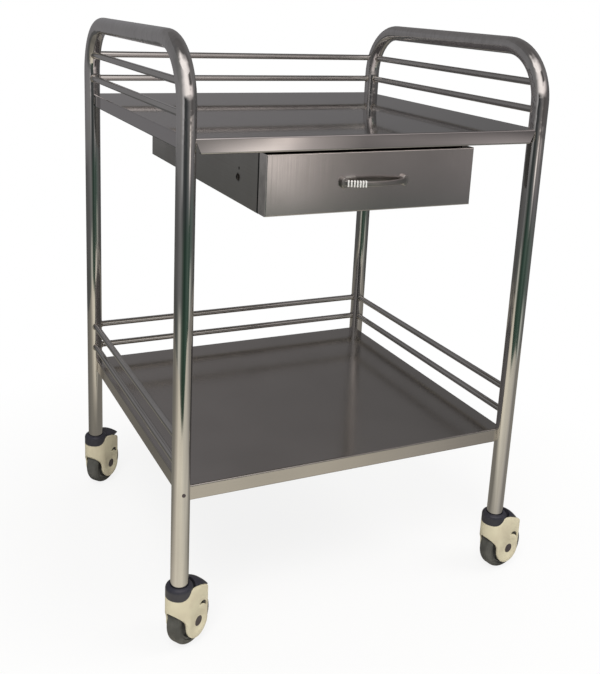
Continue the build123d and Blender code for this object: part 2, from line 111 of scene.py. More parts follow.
# --- Node trees ---
class Sheet:
    """One node tree, with short calls for the nodes that the finishes share."""

    def __init__(self, name: str, world: bool = False) -> None:
        """Start an empty material or world.

        Args:
            name: its name.
            world: whether it is a world.
        """
        library = bpy.data.worlds if world else bpy.data.materials
        self.owner = library.new(name)
        self.owner.use_nodes = True
        self.output = "OutputWorld" if world else "OutputMaterial"
        self.tree = self.owner.node_tree
        self.tree.nodes.clear()

    def node(
        self, kind: str, inputs: Mapping[str | int, object] | None = None, **settings: object
    ) -> Node:
        """Add a node.

        Args:
            kind: the node's type name, without its first word ShaderNode.
            inputs: a value for each input, or the output socket that feeds it.
            settings: properties of the node to set.

        Returns:
            The new node.
        """
        made = self.tree.nodes.new(f"ShaderNode{kind}")
        for key, value in settings.items():
            setattr(made, key, value)
        for key, value in (inputs or {}).items():
            if isinstance(value, Socket):
                self.tree.links.new(value, made.inputs[key])
            else:
                made.inputs[key].default_value = value
        return made

    def place(self, scale: Scale = 1.0) -> Socket:
        """Object coordinates, scaled.

        Args:
            scale: features a metre, the same all ways or along X, Y and Z.

        Returns:
            The vector output.
        """
        along = (scale, scale, scale) if isinstance(scale, float) else scale
        source = self.node("TexCoord").outputs["Object"]
        return self.node("Mapping", {"Vector": source, "Scale": along}).outputs["Vector"]

    def axes(self) -> bpy.types.NodeOutputs:
        """Object coordinates as separate X, Y and Z outputs."""
        return self.node("SeparateXYZ", {0: self.place()}).outputs

    def noise(self, scale: Scale, detail: float = 2.0) -> Socket:
        """Cloudy noise over Object coordinates.

        Args:
            scale: features a metre, the same all ways or along X, Y and Z.
            detail: how many finer layers it has.

        Returns:
            The noise's value output.
        """
        inputs = {"Vector": self.place(scale), "Scale": 1.0, "Detail": detail}
        return self.node("TexNoise", inputs).outputs["Fac"]

    def spread(
        self, value: Socket, low: float, high: float, start: float = 0.3, end: float = 0.7
    ) -> Socket:
        """Map a value from the range start to end onto low to high.

        Args:
            value: the output to map.
            low: what start becomes.
            high: what end becomes.
            start: the low end of the incoming range.
            end: the high end of the incoming range.

        Returns:
            The mapped output.
        """
        inputs = {"Value": value, "From Min": start, "From Max": end, "To Min": low, "To Max": high}
        return self.node("MapRange", inputs).outputs["Result"]

    def fade(self, value: Socket, start: float, end: float) -> Socket:
        """A rise from 0 where the value is start to 1 where it is end."""
        return self.spread(value, 0.0, 1.0, start, end)

    def math(self, operation: str, *terms: Socket | float) -> Socket:
        """A Math node.

        Args:
            operation: the node's operation name.
            terms: its one or two inputs.

        Returns:
            The result output.
        """
        return self.node("Math", dict(enumerate(terms)), operation=operation).outputs[0]

    def ramp(self, value: Socket, stops: Sequence[tuple[float, Colour]]) -> Socket:
        """Turn a value into a colour between the stops.

        Args:
            value: the output that runs along the ramp.
            stops: places from 0 to 1 and their colours.

        Returns:
            The colour output.
        """
        node = self.node("ValToRGB", {"Fac": value})
        elements = node.color_ramp.elements
        while len(elements) < len(stops):
            elements.new(0.5)
        for element, (place, colour) in zip(elements, stops):
            element.position = place
            element.color = (*colour, 1.0)
        return node.outputs["Color"]

    def blend(self, factor: Socket, first: Colour | Socket, second: Colour | Socket) -> Socket:
        """Mix two colours.

        Args:
            factor: how much of the second shows.
            first: a colour or a colour output.
            second: a colour or a colour output.

        Returns:
            The colour output.
        """
        pair = [part if isinstance(part, Socket) else (*part, 1.0) for part in (first, second)]
        inputs = {"Factor": factor, 6: pair[0], 7: pair[1]}
        return self.node("Mix", inputs, data_type="RGBA").outputs[2]

    def stain(self, spot: Stain) -> Socket:
        """How much a round, ragged stain covers.

        Args:
            spot: the stain.

        Returns:
            One in the stain, zero outside it.
        """
        away = self.node("VectorMath", {0: self.place(), 1: spot.centre}, operation="DISTANCE")
        rag = spot.radius * spot.rag_share
        ragged = self.spread(self.noise(spot.rag_scale), -rag, rag)
        reach = self.math("ADD", away.outputs["Value"], ragged)
        return self.spread(reach, 1.0, 0.0, start=spot.radius * 0.75, end=spot.radius * 1.1)

    def edges(self, left: float, top: float, scale: float = 60.0) -> Socket:
        """A painted highlight along a front's left and top edges, uneven in patches.

        Args:
            left: where the painted highlight of the left edge ends along X.
            top: the height at which the painted highlight of the top edge starts.
            scale: how many patches it has a metre.

        Returns:
            How much of the painted highlight shows, from 0 to 1.
        """
        at = self.axes()
        side = self.math("LESS_THAN", at["X"], left)
        upper = self.math("GREATER_THAN", at["Z"], top)
        patches = self.spread(self.noise(scale), low=0.5, high=1.0)
        return self.math("MULTIPLY", self.math("MAXIMUM", side, upper), patches)

    def strip(self, low: float, high: float) -> Socket:
        """Mark a strip across Y.

        Args:
            low: where it starts along Y.
            high: where it ends.

        Returns:
            One in the strip, zero elsewhere.
        """
        along = self.axes()["Y"]
        past = self.math("GREATER_THAN", along, low)
        return self.math("MULTIPLY", past, self.math("LESS_THAN", along, high))

    def bumps(self, layers: Sequence[tuple[Socket, float]]) -> Socket | None:
        """Stack height fields into one normal.

        Args:
            layers: pairs of a height output and its height in metres.

        Returns:
            The normal output of the last bump.
        """
        normal = None
        for height, depth in layers:
            inputs = {"Height": height, "Strength": 1.0, "Distance": depth}
            if normal is not None:
                inputs["Normal"] = normal
            normal = self.node("Bump", inputs).outputs["Normal"]
        return normal

    def bearing(self, at: bpy.types.NodeOutputs) -> Socket:
        """The direction of a point from the middle, from 0 at -180 degrees to 1 at 180.

        Args:
            at: the point's X, Y and Z outputs.

        Returns:
            The direction output.
        """
        return self.fade(self.math("ARCTAN2", at["Y"], at["X"]), -pi, pi)

    def distance(self, at: bpy.types.NodeOutputs) -> Socket:
        """How far a point lies from the upright line through the middle.

        Args:
            at: the point's X, Y and Z outputs.

        Returns:
            The distance output, in metres.
        """
        squares = [self.math("POWER", at[axis], 2.0) for axis in "XY"]
        return self.math("SQRT", self.math("ADD", *squares))

    def seen(self) -> Socket:
        """One for camera, glossy and transmission rays, else zero.

        Returns:
            The factor output.
        """
        path = self.node("LightPath").outputs
        found = path["Is Camera Ray"]
        for name in ("Is Glossy Ray", "Is Transmission Ray"):
            found = self.math("MAXIMUM", found, path[name])
        return found

    def mix(self, factor: Socket, first: Node, second: Node) -> Node:
        """A shader that turns from the first to the second as the factor goes from 0 to 1."""
        return self.node("MixShader", {0: factor, 1: first.outputs[0], 2: second.outputs[0]})

    def surface(self, shader: Node) -> bpy.types.Material | bpy.types.World:
        """Send a shader to the output, and hand over the material or world."""
        self.node(self.output, {"Surface": shader.outputs[0]})
        return self.owner

    def coat(
        self,
        colour: Socket,
        roughness: Socket,
        layers: Sequence[tuple[Socket, float]],
        metallic: float = 0.0,
    ) -> bpy.types.Material:
        """Finish a material with one Principled shader.

        Args:
            colour: the base colour output.
            roughness: the roughness output.
            layers: the height fields, as bumps takes them.
            metallic: how far it is metal, from 0 to 1.

        Returns:
            The material.
        """
        normal = self.bumps(layers)
        inputs = {"Base Color": colour, "Roughness": roughness, "Metallic": metallic, "Normal": normal}
        return self.surface(self.node("BsdfPrincipled", inputs))


# --- Finishes ---
@dataclass(frozen=True)
class Steel:
    """Stainless or plated steel with polishing lines, soft waves and handling marks.

    Attributes:
        slot: the record's material slot; not used.
        wave: how many soft waves the surface has a metre.
        marks: how dark its cloudy handling marks are.
        fine: how strongly the polishing lines show in its colour.
        streaks: how dark the streaks drawn along a tube are.
        dents: how deep the small dents are, which start between the heights dented_z.
        painted_gap_shade_y: where a painted line of shade, standing in for the dark gap beside the
            drawer front, starts and ends along Y.
        painted_edge_highlight: the place along X and the height past which edges get a painted
            highlight.
    """

    name: str
    slot: str
    colour: Colour
    roughness: float
    wave: Scale
    wave_depth: float
    marks: float
    mark_scale: float = 9.0
    grain: Grain = Grain.NONE
    grain_depth: float = 0.0000008
    metallic: float = 1.0
    fine: float = 0.12
    fine_dark: float = 0.2
    streaks: float = 0.0
    streak_scale: Scale = (170.0, 170.0, 5.0)
    dents: float = 0.0
    dent_scale: float = 85.0
    dented_z: tuple[float, float] = (0.68, 0.74)
    # Painted shade: a near black line across Y, and its colour, standing in for the dark gap beside
    # the drawer front.
    painted_gap_shade_y: tuple[float, float] = (0.0, 0.0)
    grime_and_gap_shade: Colour = (0.006, 0.006, 0.006)
    # Painted highlight: a pale band along the drawer front's left and top edges, standing in for light
    # caught by a rounded fold.
    painted_edge_highlight: tuple[float, float] = (0.0, 0.0)
    edge_highlight_tint: Colour = (0.95, 0.9, 0.87)
    stains: tuple[Stain, ...] = ()
    stain: Colour = (0.02, 0.02, 0.02)

    def material(self) -> bpy.types.Material:
        """Build the node material.

        Returns:
            The steel material.
        """
        sheet = Sheet(self.name)
        lines = sheet.noise(self.grain.value, detail=3.0)
        clouds = sheet.noise(self.mark_scale, detail=4.0)
        marked = sheet.fade(clouds, start=0.35, end=0.72)
        tint = sheet.blend(marked, self.colour, darker(self.colour, self.marks))
        lined = sheet.spread(lines, 0.0, self.fine)
        tint = sheet.blend(lined, tint, darker(self.colour, self.fine_dark))
        if self.streaks:
            drawn = sheet.fade(sheet.noise(self.streak_scale, detail=3.0), start=0.42, end=0.7)
            tint = sheet.blend(drawn, tint, darker(self.colour, self.streaks))
        for spot in self.stains:
            tint = sheet.blend(sheet.stain(spot), tint, self.stain)
        # Painted highlight along the left and top edges.
        if self.painted_edge_highlight[1]:
            tint = sheet.blend(sheet.edges(*self.painted_edge_highlight), tint, self.edge_highlight_tint)
        # Painted shade: the near black line along the gap beside the drawer front.
        if self.painted_gap_shade_y[0] < self.painted_gap_shade_y[1]:
            tint = sheet.blend(sheet.strip(*self.painted_gap_shade_y), tint, self.grime_and_gap_shade)
        cloudy = sheet.spread(clouds, self.roughness * 0.9, self.roughness * 1.25)
        roughness = sheet.math("MULTIPLY", sheet.spread(lines, low=0.88, high=1.14), cloudy)
        waves = sheet.noise(self.wave, detail=0.0)
        layers = [(waves, self.wave_depth), (lines, self.grain_depth)]
        if self.dents:
            upper = sheet.fade(sheet.axes()["Z"], *self.dented_z)
            small = sheet.noise(self.dent_scale, detail=1.0)
            layers.append((sheet.math("MULTIPLY", small, upper), self.dents))
        return sheet.coat(tint, roughness, layers, self.metallic)


@dataclass(frozen=True)
class Plastic:
    """Moulded plastic: fine mould texture, faint mottling and a little grime."""

    name: str
    slot: str
    colour: Colour
    roughness: float
    grime_and_gap_shade: Colour
    grime_share: float
    grime_scale: float = 38.0
    texture_depth: float = 0.00002
    texture_scale: float = 1400.0

    def material(self) -> bpy.types.Material:
        """Build the node material.

        Returns:
            The plastic material.
        """
        sheet = Sheet(self.name)
        clouds = sheet.noise(self.grime_scale, detail=4.0)
        share = sheet.spread(clouds, 0.0, self.grime_share, start=0.42, end=0.75)
        tint = sheet.blend(share, self.colour, self.grime_and_gap_shade)
        roughness = sheet.spread(clouds, self.roughness * 0.9, self.roughness * 1.2)
        return sheet.coat(tint, roughness, [(sheet.noise(self.texture_scale), self.texture_depth)])


@dataclass(frozen=True)
class Weld:
    """Weld metal: rippled, a little duller than the sheet, with straw and blue heat tint."""

    name: str
    slot: str
    colour: Colour
    heat: Colour
    heat_share: float = 0.7
    heat_scale: float = 240.0
    ripple_scale: float = 900.0
    ripple_depth: float = 0.0002

    def material(self) -> bpy.types.Material:
        """Build the node material.

        Returns:
            The weld material.
        """
        sheet = Sheet(self.name)
        clouds = sheet.noise(self.heat_scale, detail=3.0)
        heated = sheet.spread(clouds, 0.0, self.heat_share, start=0.4, end=0.65)
        tint = sheet.blend(heated, self.colour, self.heat)
        ripples = sheet.noise(self.ripple_scale, detail=1.0)
        roughness = sheet.spread(clouds, low=0.22, high=0.42)
        return sheet.coat(tint, roughness, [(ripples, self.ripple_depth)], metallic=1.0)


Finish = Steel | Plastic | Weld

# A painted highlight lies along the drawer front's left and top edges, painted shade along its rear
# edge and the housing's front edge beside the gap, and the stains by the front left screw head.
FRONT_LOW, FRONT_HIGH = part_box("drawer_front")
HOUSING_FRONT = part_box("drawer_housing")[0].y
SCREWS_LOW, SCREWS_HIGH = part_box("housing_screws")
HEAD_THICKNESS, HEAD_RADIUS = 0.002, (SCREWS_HIGH.z - SCREWS_LOW.z) / 2
SCREW_HEAD = SCREWS_LOW + Vector((HEAD_THICKNESS, HEAD_RADIUS, HEAD_RADIUS))
# The width of the painted highlight along the drawer front's edges.
EDGE_HIGHLIGHT_WIDTH = 0.0013

TUBE = Steel(
    "polished_tube_steel", "polished_tube", (0.63, 0.615, 0.608), roughness=0.075,
    wave=(30.0, 30.0, 9.0), wave_depth=0.00012, marks=0.12, streaks=0.16, dents=0.00045,
)
ROD = Steel(
    "polished_rod_steel", "polished_rod", (0.6, 0.585, 0.57), roughness=0.09,
    wave=(14.0, 14.0, 60.0), wave_depth=0.00005, marks=0.14,
)
TOP_SHEET = Steel(
    "top_shelf_steel", "shelf_sheet", (0.5, 0.48, 0.48), roughness=0.05,
    wave=(2.6, 3.4, 3.0), wave_depth=0.0006, marks=0.05, grain=Grain.X, grain_depth=0.0000002,
)
BOTTOM_SHEET = Steel(
    "bottom_shelf_steel", "shelf_sheet", (0.5, 0.475, 0.455), roughness=0.15,
    wave=(3.0, 4.0, 3.0), wave_depth=0.001, marks=0.07, grain=Grain.X, grain_depth=0.0000004,
)
DRAWER_SHEET = Steel(
    "drawer_steel", "drawer_sheet", (0.6, 0.57, 0.56), roughness=0.19,
    wave=(5.0, 5.0, 7.0), wave_depth=0.0006, marks=0.16, grain=Grain.Z, grain_depth=0.0000006,
    # Painted shade along the rear edge, beside the gap.
    fine=0.04, painted_gap_shade_y=(FRONT_HIGH.y - 0.002, FRONT_HIGH.y + 0.019),
    # Painted highlight along the left and top edges.
    painted_edge_highlight=(FRONT_LOW.x + EDGE_HIGHLIGHT_WIDTH, FRONT_HIGH.z - EDGE_HIGHLIGHT_WIDTH),
)
HOUSING_SHEET = Steel(
    "housing_steel", "drawer_sheet", (0.5, 0.49, 0.47), roughness=0.34,
    wave=(5.0, 4.0, 7.0), wave_depth=0.0006, marks=0.14, grain=Grain.Y, grain_depth=0.0000006,
    # Painted shade where the housing and the tray cross the housing's front edge, beside the gap.
    fine=0.06, painted_gap_shade_y=(HOUSING_FRONT - 0.0031, HOUSING_FRONT + 0.0023),
    stains=(Stain(SCREW_HEAD, 0.0062), Stain(SCREW_HEAD + Vector((0.0, -0.003, 0.0125)), 0.0022)),
)
PLATED = Steel(
    "plated_steel", "plated_hardware", (0.58, 0.58, 0.57), roughness=0.24,
    wave=40.0, wave_depth=0.00002, marks=0.2,
)
# Painted shade: the slides and runners are near black all over, so that what shows through the gap
# beside the drawer front reads dark.
SLIDE_STEEL_PAINTED_SHADE = Steel(
    "slide_steel_painted_shade", "plated_hardware", (0.16, 0.155, 0.15), roughness=0.4,
    wave=40.0, wave_depth=0.00002, marks=0.3,
)
GRIMY = Steel(
    "grimy_screw_steel", "plated_hardware", (0.13, 0.12, 0.115), roughness=0.42,
    wave=90.0, wave_depth=0.00005, marks=0.5,
)
# Painted glints: the handle's ribs are near white and only partly metal, so that they stay bright as
# glints on chrome would.
RIB_PLATE_PAINTED_GLINT = Steel(
    "rib_plate_painted_glint", "bright_handle", (0.9, 0.89, 0.86), roughness=0.25,
    wave=60.0, wave_depth=0.00004, marks=0.12, metallic=0.35,
)
# Painted shade: a darker copy of the handle's plating for the bowed bar; its cloudy marks are handling
# marks.
BAR_PLATE_PAINTED_SHADE = Steel(
    "bar_plate_painted_shade", "bright_handle", (0.44, 0.42, 0.41), roughness=0.34,
    wave=90.0, wave_depth=0.00006, marks=0.35,
)
BEAD = Weld("weld_metal", "polished_tube", (0.5, 0.48, 0.45), heat=(0.3, 0.25, 0.2))
HOOD = Plastic(
    "beige_hood_plastic", "beige_plastic", (0.57, 0.52, 0.37), roughness=0.4,
    grime_and_gap_shade=(0.34, 0.26, 0.19), grime_share=0.28,
)
COLLAR = Plastic(
    "dark_collar_plastic", "dark_plastic", (0.022, 0.022, 0.031), roughness=0.36,
    grime_and_gap_shade=(0.07, 0.065, 0.07), grime_share=0.3,
)
CAP = Plastic(
    "axle_cap_plastic", "dark_plastic", (0.045, 0.034, 0.036), roughness=0.5,
    grime_and_gap_shade=(0.12, 0.1, 0.09), grime_share=0.3,
)
HUB = Plastic(
    "wheel_hub_plastic", "hub_plastic", (0.075, 0.075, 0.07), roughness=0.5,
    grime_and_gap_shade=(0.16, 0.15, 0.13), grime_share=0.4,
)
TREAD = Plastic(
    "tread_rubber", "tread", (0.05, 0.05, 0.045), roughness=0.6,
    grime_and_gap_shade=(0.17, 0.165, 0.145), grime_share=0.5, texture_depth=0.00005, texture_scale=900.0,
)


# --- Bench: modelling steps that the pieces share ---
def active() -> Item:
    """The object that was made last."""
    return bpy.context.view_layer.objects.active


def pick(*items: Item) -> None:
    """Select only these objects, the first of them active.

    Args:
        items: the objects.
    """
    bpy.ops.object.select_all(action="DESELECT")
    for item in items:
        item.select_set(True)
    bpy.context.view_layer.objects.active = items[0]


def settle(item: Item, name: str) -> Item:
    """Put an object's place into its mesh and give it its name.

    Args:
        item: the mesh object.
        name: the piece's name.

    Returns:
        The same object, at the origin, unturned and unscaled.
    """
    pick(item)
    bpy.ops.object.transform_apply(location=True, rotation=True, scale=True)
    item.name = name
    item.data.name = name
    return item


def finish_with(item: Item, kind: str, **settings: object) -> None:
    """Add a modifier and apply it.

    Args:
        item: the mesh object.
        kind: the modifier's type name.
        settings: properties of the modifier to set.
    """
    pick(item)
    modifier = item.modifiers.new(kind.lower(), kind)
    for key, value in settings.items():
        setattr(modifier, key, value)
    bpy.ops.object.modifier_apply(modifier=modifier.name)


def mend(item: Item) -> None:
    """Merge doubled vertices, close any hole and turn all faces outwards.

    Args:
        item: the mesh object.
    """
    pick(item)
    bpy.ops.object.mode_set(mode="EDIT")
    bpy.ops.mesh.select_all(action="SELECT")
    bpy.ops.mesh.remove_doubles(threshold=0.000001)
    bpy.ops.mesh.fill_holes(sides=0)
    bpy.ops.mesh.select_all(action="SELECT")
    bpy.ops.mesh.normals_make_consistent(inside=False)
    bpy.ops.object.mode_set(mode="OBJECT")


def copy_of(item: Item) -> Item:
    """A copy with a mesh of its own.

    Args:
        item: the mesh object.

    Returns:
        The copy.
    """
    twin = item.copy()
    twin.data = item.data.copy()
    bpy.context.scene.collection.objects.link(twin)
    return twin


def copy_of_node(node: str, name: str) -> Item:
    """A merged, free copy of a CAD node's mesh, to be worked on.

    Args:
        node: the CAD node's name.
        name: the copy's name.

    Returns:
        The copy, with no parent and no material.
    """
    twin = copy_of(frame["nodes"][node])
    twin.parent = None
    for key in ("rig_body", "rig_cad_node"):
        if key in twin:
            del twin[key]
    if twin.data.has_custom_normals:
        pick(twin)
        bpy.ops.mesh.customdata_custom_splitnormals_clear()
    twin.data.materials.clear()
    mend(twin)
    twin.name = name
    twin.data.name = name
    return twin


def joined(items: Sequence[Item], name: str) -> Item:
    """Join several mesh objects into one piece.

    Args:
        items: the objects, which become one.
        name: the piece's name.

    Returns:
        The joined object.
    """
    pick(*items)
    bpy.ops.object.join()
    return settle(active(), name)


def smooth(item: Item, angle: float = 40.0) -> None:
    """Shade a mesh smooth except across edges sharper than the angle, in degrees."""
    pick(item)
    bpy.ops.object.shade_smooth_by_angle(angle=radians(angle))


def ripple(item: Item, size: float, depth: float) -> Item:
    """Give weld metal its uneven surface.

    Args:
        item: the weld.
        size: how wide a ripple is, in metres.
        depth: how deep it is.

    Returns:
        The same weld.
    """
    texture = bpy.data.textures.new(f"{item.name}_ripple", "CLOUDS")
    texture.noise_scale = size
    finish_with(item, "DISPLACE", texture=texture, strength=depth, texture_coords="GLOBAL")
    smooth(item, angle=80.0)
    return item


def disc(name: str, radius: float, height: float) -> Item:
    """A flat round board that faces up.

    Args:
        name: the board's name.
        radius: its radius.
        height: how high it lies.

    Returns:
        The board.
    """
    place = (0.0, 0.0, height)
    bpy.ops.mesh.primitive_circle_add(vertices=96, radius=radius, fill_type="NGON", location=place)
    return settle(active(), name)


def islands(item: Item) -> list[tuple[Vector, Vector]]:
    """The boxes of a mesh's separate parts.

    Args:
        item: the mesh object.

    Returns:
        The lowest and highest corner of each part.
    """
    pick(copy_of(item))
    bpy.ops.mesh.separate(type="LOOSE")
    boxes = []
    for part in list(bpy.context.selected_objects):
        axes = list(zip(*(vertex.co for vertex in part.data.vertices)))
        boxes.append(tuple(Vector([end(axis) for axis in axes]) for end in (min, max)))
        bpy.data.objects.remove(part)
    return boxes


class Paintshop:
    """Makes each finish's material once and lays it on pieces and CAD nodes."""

    def __init__(self) -> None:
        """Start with nothing made."""
        self.made: dict[str, bpy.types.Material] = {}

    def material(self, finish: Finish) -> bpy.types.Material:
        """The finish's material, made on first use.

        Args:
            finish: the finish.

        Returns:
            Its material.
        """
        if finish.name not in self.made:
            self.made[finish.name] = finish.material()
        return self.made[finish.name]

    def paint(self, node: str, finish: Finish) -> None:
        """Lay a finish on a CAD node.

        Args:
            node: the CAD node's name.
            finish: the finish it gets.
        """
        item = frame["nodes"][node]
        if not item.material_slots:
            item.data.materials.append(None)
        for place in item.material_slots:
            place.material = self.material(finish)
        LOG.info("painted %s with %s", node, finish.name)

    def place(self, item: Item, finish: Finish, body: str) -> None:
        """Dress a new piece and hang it on its body.

        Args:
            item: the new piece.
            finish: the finish it gets.
            body: the CAD body that it moves with.
        """
        item.data.materials.clear()
        item.data.materials.append(self.material(finish))
        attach(item, body)
        LOG.info("built %s on body %s", item.name, body)


# --- Frame and rails ---
@dataclass
class SideFrames:
    """The two bent-tube side frames, the plugs in their vent holes and the caster stems."""

    shop: Paintshop

    def build(self) -> None:
        """Dress both tubes, the plugs and the stems."""
        for side in ("left", "right"):
            self.shop.paint(f"{side}_side_frame", TUBE)
        self.shop.paint("vent_plugs", CAP)
        for corner in CORNERS:
            self.shop.paint(f"caster_stem_{corner}", PLATED)


@dataclass
class GuardRails:
    """The twelve guard rods and the weld bead round each of their ends."""

    shop: Paintshop
    rod_radius: float = 0.005
    bead_radius: float = 0.0012
    bead_offset: float = 0.0002
    ripple_size: float = 0.0035
    ripple_depth: float = 0.0006
    sink: float = 0.0006

    def bead(self, name: str, centre: Vector, along: str) -> Item:
        """A ring of weld round a rod's end.

        Args:
            name: the bead's name.
            centre: the ring's centre.
            along: the rod's axis, X or Y.

        Returns:
            The bead.
        """
        bpy.ops.mesh.primitive_torus_add(
            location=centre,
            rotation=(0.0, pi / 2, 0.0) if along == "X" else (pi / 2, 0.0, 0.0),
            major_radius=self.rod_radius + self.bead_offset,
            minor_radius=self.bead_radius,
            major_segments=40,
            minor_segments=10,
        )
        return ripple(settle(active(), name), self.ripple_size, self.ripple_depth)

    def ends(self, node: str, along: str) -> list[Vector]:
        """The centres of a rod's two ends, a little inside its box.

        Args:
            node: the rod.
            along: its axis, X or Y.

        Returns:
            The two centres.
        """
        low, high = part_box(node)
        axis = "XY".index(along)
        found = []
        for edge, inward in ((low[axis], 1), (high[axis], -1)):
            point = (low + high) / 2
            point[axis] = edge + inward * self.sink
            found.append(point)
        return found

    def build(self) -> None:
        """Dress the rods and weld their ends."""
        for level in ("top", "bottom"):
            beads = []
            for side, along in (("left", "Y"), ("right", "Y"), ("rear", "X")):
                for height in ("lower", "upper"):
                    node = f"{level}_{side}_{height}_rail"
                    self.shop.paint(node, ROD)
                    for index, centre in enumerate(self.ends(node, along)):
                        beads.append(self.bead(f"{node}_bead_{index}", centre, along))
            self.shop.place(joined(beads, f"{level}_rail_welds"), BEAD, "frame")


@dataclass
class Shelves:
    """Both shelves, and the short welds where their flanges run into the legs."""

    shop: Paintshop
    leg_x: float = 0.2625
    leg_y: float = 0.2375
    leg_radius: float = 0.0125
    seam_radius: float = 0.0011
    seam_share: float = 0.72
    seam_sink: float = 0.0003
    ripple_size: float = 0.003
    ripple_depth: float = 0.0007

    def seam(self, name: str, point: Vector, length: float) -> Item:
        """A short upright weld with rounded ends.

        Args:
            name: the seam's name.
            point: its middle.
            length: how long it is.

        Returns:
            The seam.
        """
        bpy.ops.mesh.primitive_uv_sphere_add(
            location=point, radius=self.seam_radius, segments=12, ring_count=18
        )
        active().scale.z = length / (2 * self.seam_radius)
        return ripple(settle(active(), name), self.ripple_size, self.ripple_depth)

    def joints(self, node: str) -> list[Vector]:
        """Where a shelf's flanges meet the legs: an end joint and a side joint at each leg.

        Args:
            node: the shelf.

        Returns:
            The middles of the eight joints.
        """
        low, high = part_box(node)
        z = (low.z + high.z) / 2
        found = []
        for side_x, flange_x in ((-1, low.x), (1, high.x)):
            for side_y, flange_y in ((-1, low.y), (1, high.y)):
                off_y = flange_y - side_y * self.leg_y
                reach_x = self.leg_x - sqrt(max(self.leg_radius**2 - off_y**2, 0.0))
                found.append(Vector((side_x * reach_x, flange_y - side_y * self.seam_sink, z)))
                off_x = flange_x - side_x * self.leg_x
                reach_y = self.leg_y - sqrt(max(self.leg_radius**2 - off_x**2, 0.0))
                found.append(Vector((flange_x - side_x * self.seam_sink, side_y * reach_y, z)))
        return found

    def build(self) -> None:
        """Dress the sheets and weld them to the legs."""
        self.shop.paint("top_shelf", TOP_SHEET)
        self.shop.paint("bottom_shelf", BOTTOM_SHEET)
        self.shop.paint("bottom_shelf_stiffener", BOTTOM_SHEET)
        for node in ("top_shelf", "bottom_shelf"):
            low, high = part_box(node)
            length = (high.z - low.z) * self.seam_share
            seams = [
                self.seam(f"{node}_seam_{index}", point, length)
                for index, point in enumerate(self.joints(node))
            ]
            self.shop.place(joined(seams, f"{node}_welds"), BEAD, "frame")


# --- Drawer ---
@dataclass
class DrawerUnit:
    """The housing, its screws, the drawer and its ribbed handle."""

    shop: Paintshop
    slot_length: float = 0.0046
    slot_width: float = 0.0009
    slot_depth: float = 0.0022
    slot_turn: float = 20.0
    bar_inset: float = 0.0045
    bar_thickness: float = 0.0035
    bar_end: float = 0.0045
    rib_count: int = 7
    rib_pitch: float = 0.0035
    rib_size: tuple[float, float, float] = (0.0021, 0.0052, 0.0088)
    rib_rounding: float = 0.0008
    rib_start: float = 0.0045

    def crossed(self, node: str, axis: str, heads: Heads) -> Item:
        """A copy of a screw node whose heads have crossed recesses.

        Args:
            node: the CAD node with the screws.
            axis: the screws' axis, X or Y.
            heads: the way that the heads face.

        Returns:
            The screws with their recesses cut.
        """
        screws = copy_of_node(node, f"crossed_{node}")
        index = "XY".index(axis)
        size = [self.slot_width, self.slot_width, self.slot_length]
        size[index] = self.slot_depth
        for low, high in islands(screws):
            point = (low + high) / 2
            far = heads is Heads.REARWARD or point[index] > 0
            point[index] = (high if far else low)[index]
            for turn in (self.slot_turn, self.slot_turn + 90.0):
                bpy.ops.mesh.primitive_cube_add(size=1.0, location=point)
                cutter = active()
                cutter.scale = size
                cutter.rotation_euler[index] = radians(turn)
                finish_with(screws, "BOOLEAN", object=cutter, operation="DIFFERENCE", solver="EXACT")
                bpy.data.objects.remove(cutter)
        mend(screws)
        smooth(screws)
        return screws

    def rib(self, place: Vector, turn: float, name: str) -> Item:
        """One raised band across the handle's bar.

        Args:
            place: the band's centre.
            turn: its turn about Z, in radians.
            name: the band's name.

        Returns:
            The band, with rounded edges.
        """
        bpy.ops.mesh.primitive_cube_add(size=1.0, location=place, rotation=(0.0, 0.0, turn))
        band = active()
        band.scale = self.rib_size
        settle(band, name)
        finish_with(band, "BEVEL", width=self.rib_rounding, segments=3, limit_method="ANGLE")
        return band

    def ribs(self) -> Item:
        """The raised bands over the left third of the handle's bowed bar.

        Returns:
            The bands as one piece.
        """
        low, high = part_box("drawer_handle")
        middle = (low + high) / 2
        half = (high.x - low.x) / 2 - self.bar_inset
        front = low.y + self.bar_thickness / 2
        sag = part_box("drawer_front")[0].y - self.bar_end - front
        radius = (half**2 + sag**2) / (2 * sag)
        bands = []
        for index in range(self.rib_count):
            x = self.rib_start + index * self.rib_pitch - half
            turn = asin(x / radius)
            place = Vector((middle.x + x, front + radius * (1 - cos(turn)), middle.z))
            bands.append(self.rib(place, turn, f"handle_rib_{index}"))
        return joined(bands, "handle_ribs")

    def build(self) -> None:
        """Dress the sheets, cut the screws and rib the handle."""
        self.shop.paint("drawer_housing", HOUSING_SHEET)
        self.shop.paint("drawer_front", DRAWER_SHEET)
        # The tray takes the housing's steel, painted shade line included.
        self.shop.paint("drawer_tray", HOUSING_SHEET)
        # Slides and runners take the near black steel of painted shade.
        for node in ("left_runner", "right_runner", "left_slide", "right_slide"):
            self.shop.paint(node, SLIDE_STEEL_PAINTED_SHADE)
        housing_screws = self.crossed("housing_screws", "X", Heads.OUTWARD)
        self.shop.place(housing_screws, GRIMY, "frame")
        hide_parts("housing_screws")
        handle_screws = self.crossed("handle_screws", "Y", Heads.REARWARD)
        self.shop.place(handle_screws, PLATED, "drawer")
        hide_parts("handle_screws")
        bow = copy_of_node("drawer_handle", "handle_bow")
        ribs = self.ribs()
        smooth(ribs)
        smooth(bow)
        # The bar takes the darker plating of painted shade, the ribs the pale plating of painted
        # glints.
        self.shop.place(bow, BAR_PLATE_PAINTED_SHADE, "drawer")
        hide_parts("drawer_handle")
        self.shop.place(ribs, RIB_PLATE_PAINTED_GLINT, "drawer")


